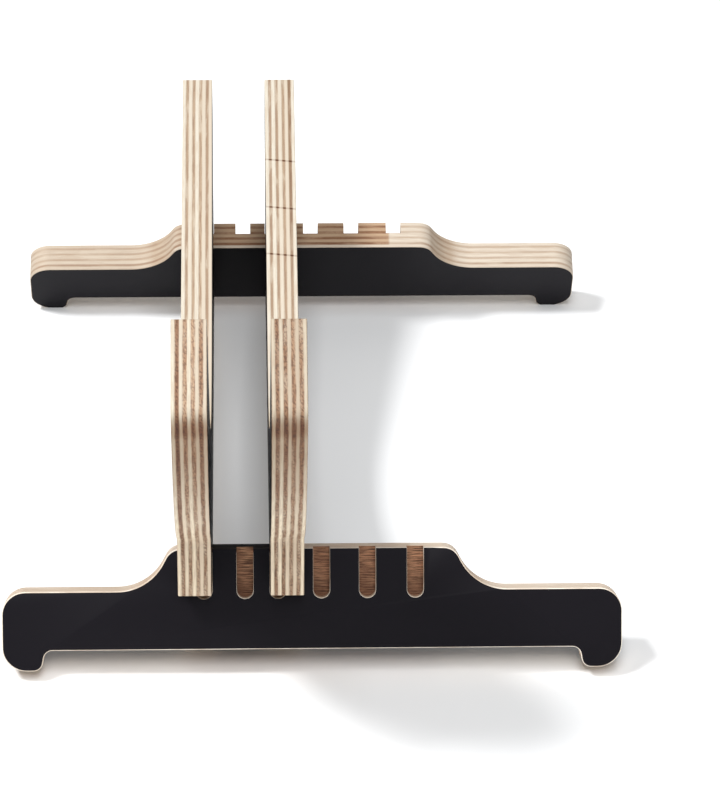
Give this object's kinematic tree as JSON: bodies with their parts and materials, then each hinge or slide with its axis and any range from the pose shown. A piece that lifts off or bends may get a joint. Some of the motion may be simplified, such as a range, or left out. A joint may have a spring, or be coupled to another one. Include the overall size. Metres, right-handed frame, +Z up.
{
  "type": "bicycle floor stand",
  "caption": "Free-standing plywood floor stand that holds a bicycle wheel upright between two slotted side panels on leaning cross feet.",
  "frame": {"origin": "on the floor, under the middle of the stand's bounding box", "axes": "+X across the stand to the bicycle's right, +Y forwards along the wheel from the tall rear arms to the low front arms, +Z up"},
  "size_m": [0.28, 0.4358, 0.2188],
  "materials": {
    "black_faced_plywood": "satin black film on both faces, pale birch plies bare on every cut edge"
  },
  "bodies": {
    "side_panels": {"left_side_panel": "black_faced_plywood", "right_side_panel": "black_faced_plywood"},
    "rear_foot": {"rear_cross_foot": "black_faced_plywood"},
    "front_foot": {"front_cross_foot": "black_faced_plywood"}
  },
  "joints": [
    {"name": "rear_foot_slide", "type": "slide", "parent": "side_panels", "child": "rear_foot", "axis": [0, -0.4384, -0.8988], "range_m": [0, 0.045]},
    {"name": "front_foot_slide", "type": "slide", "parent": "side_panels", "child": "front_foot", "axis": [0, 0.4384, -0.8988], "range_m": [0, 0.045]}
  ]
}
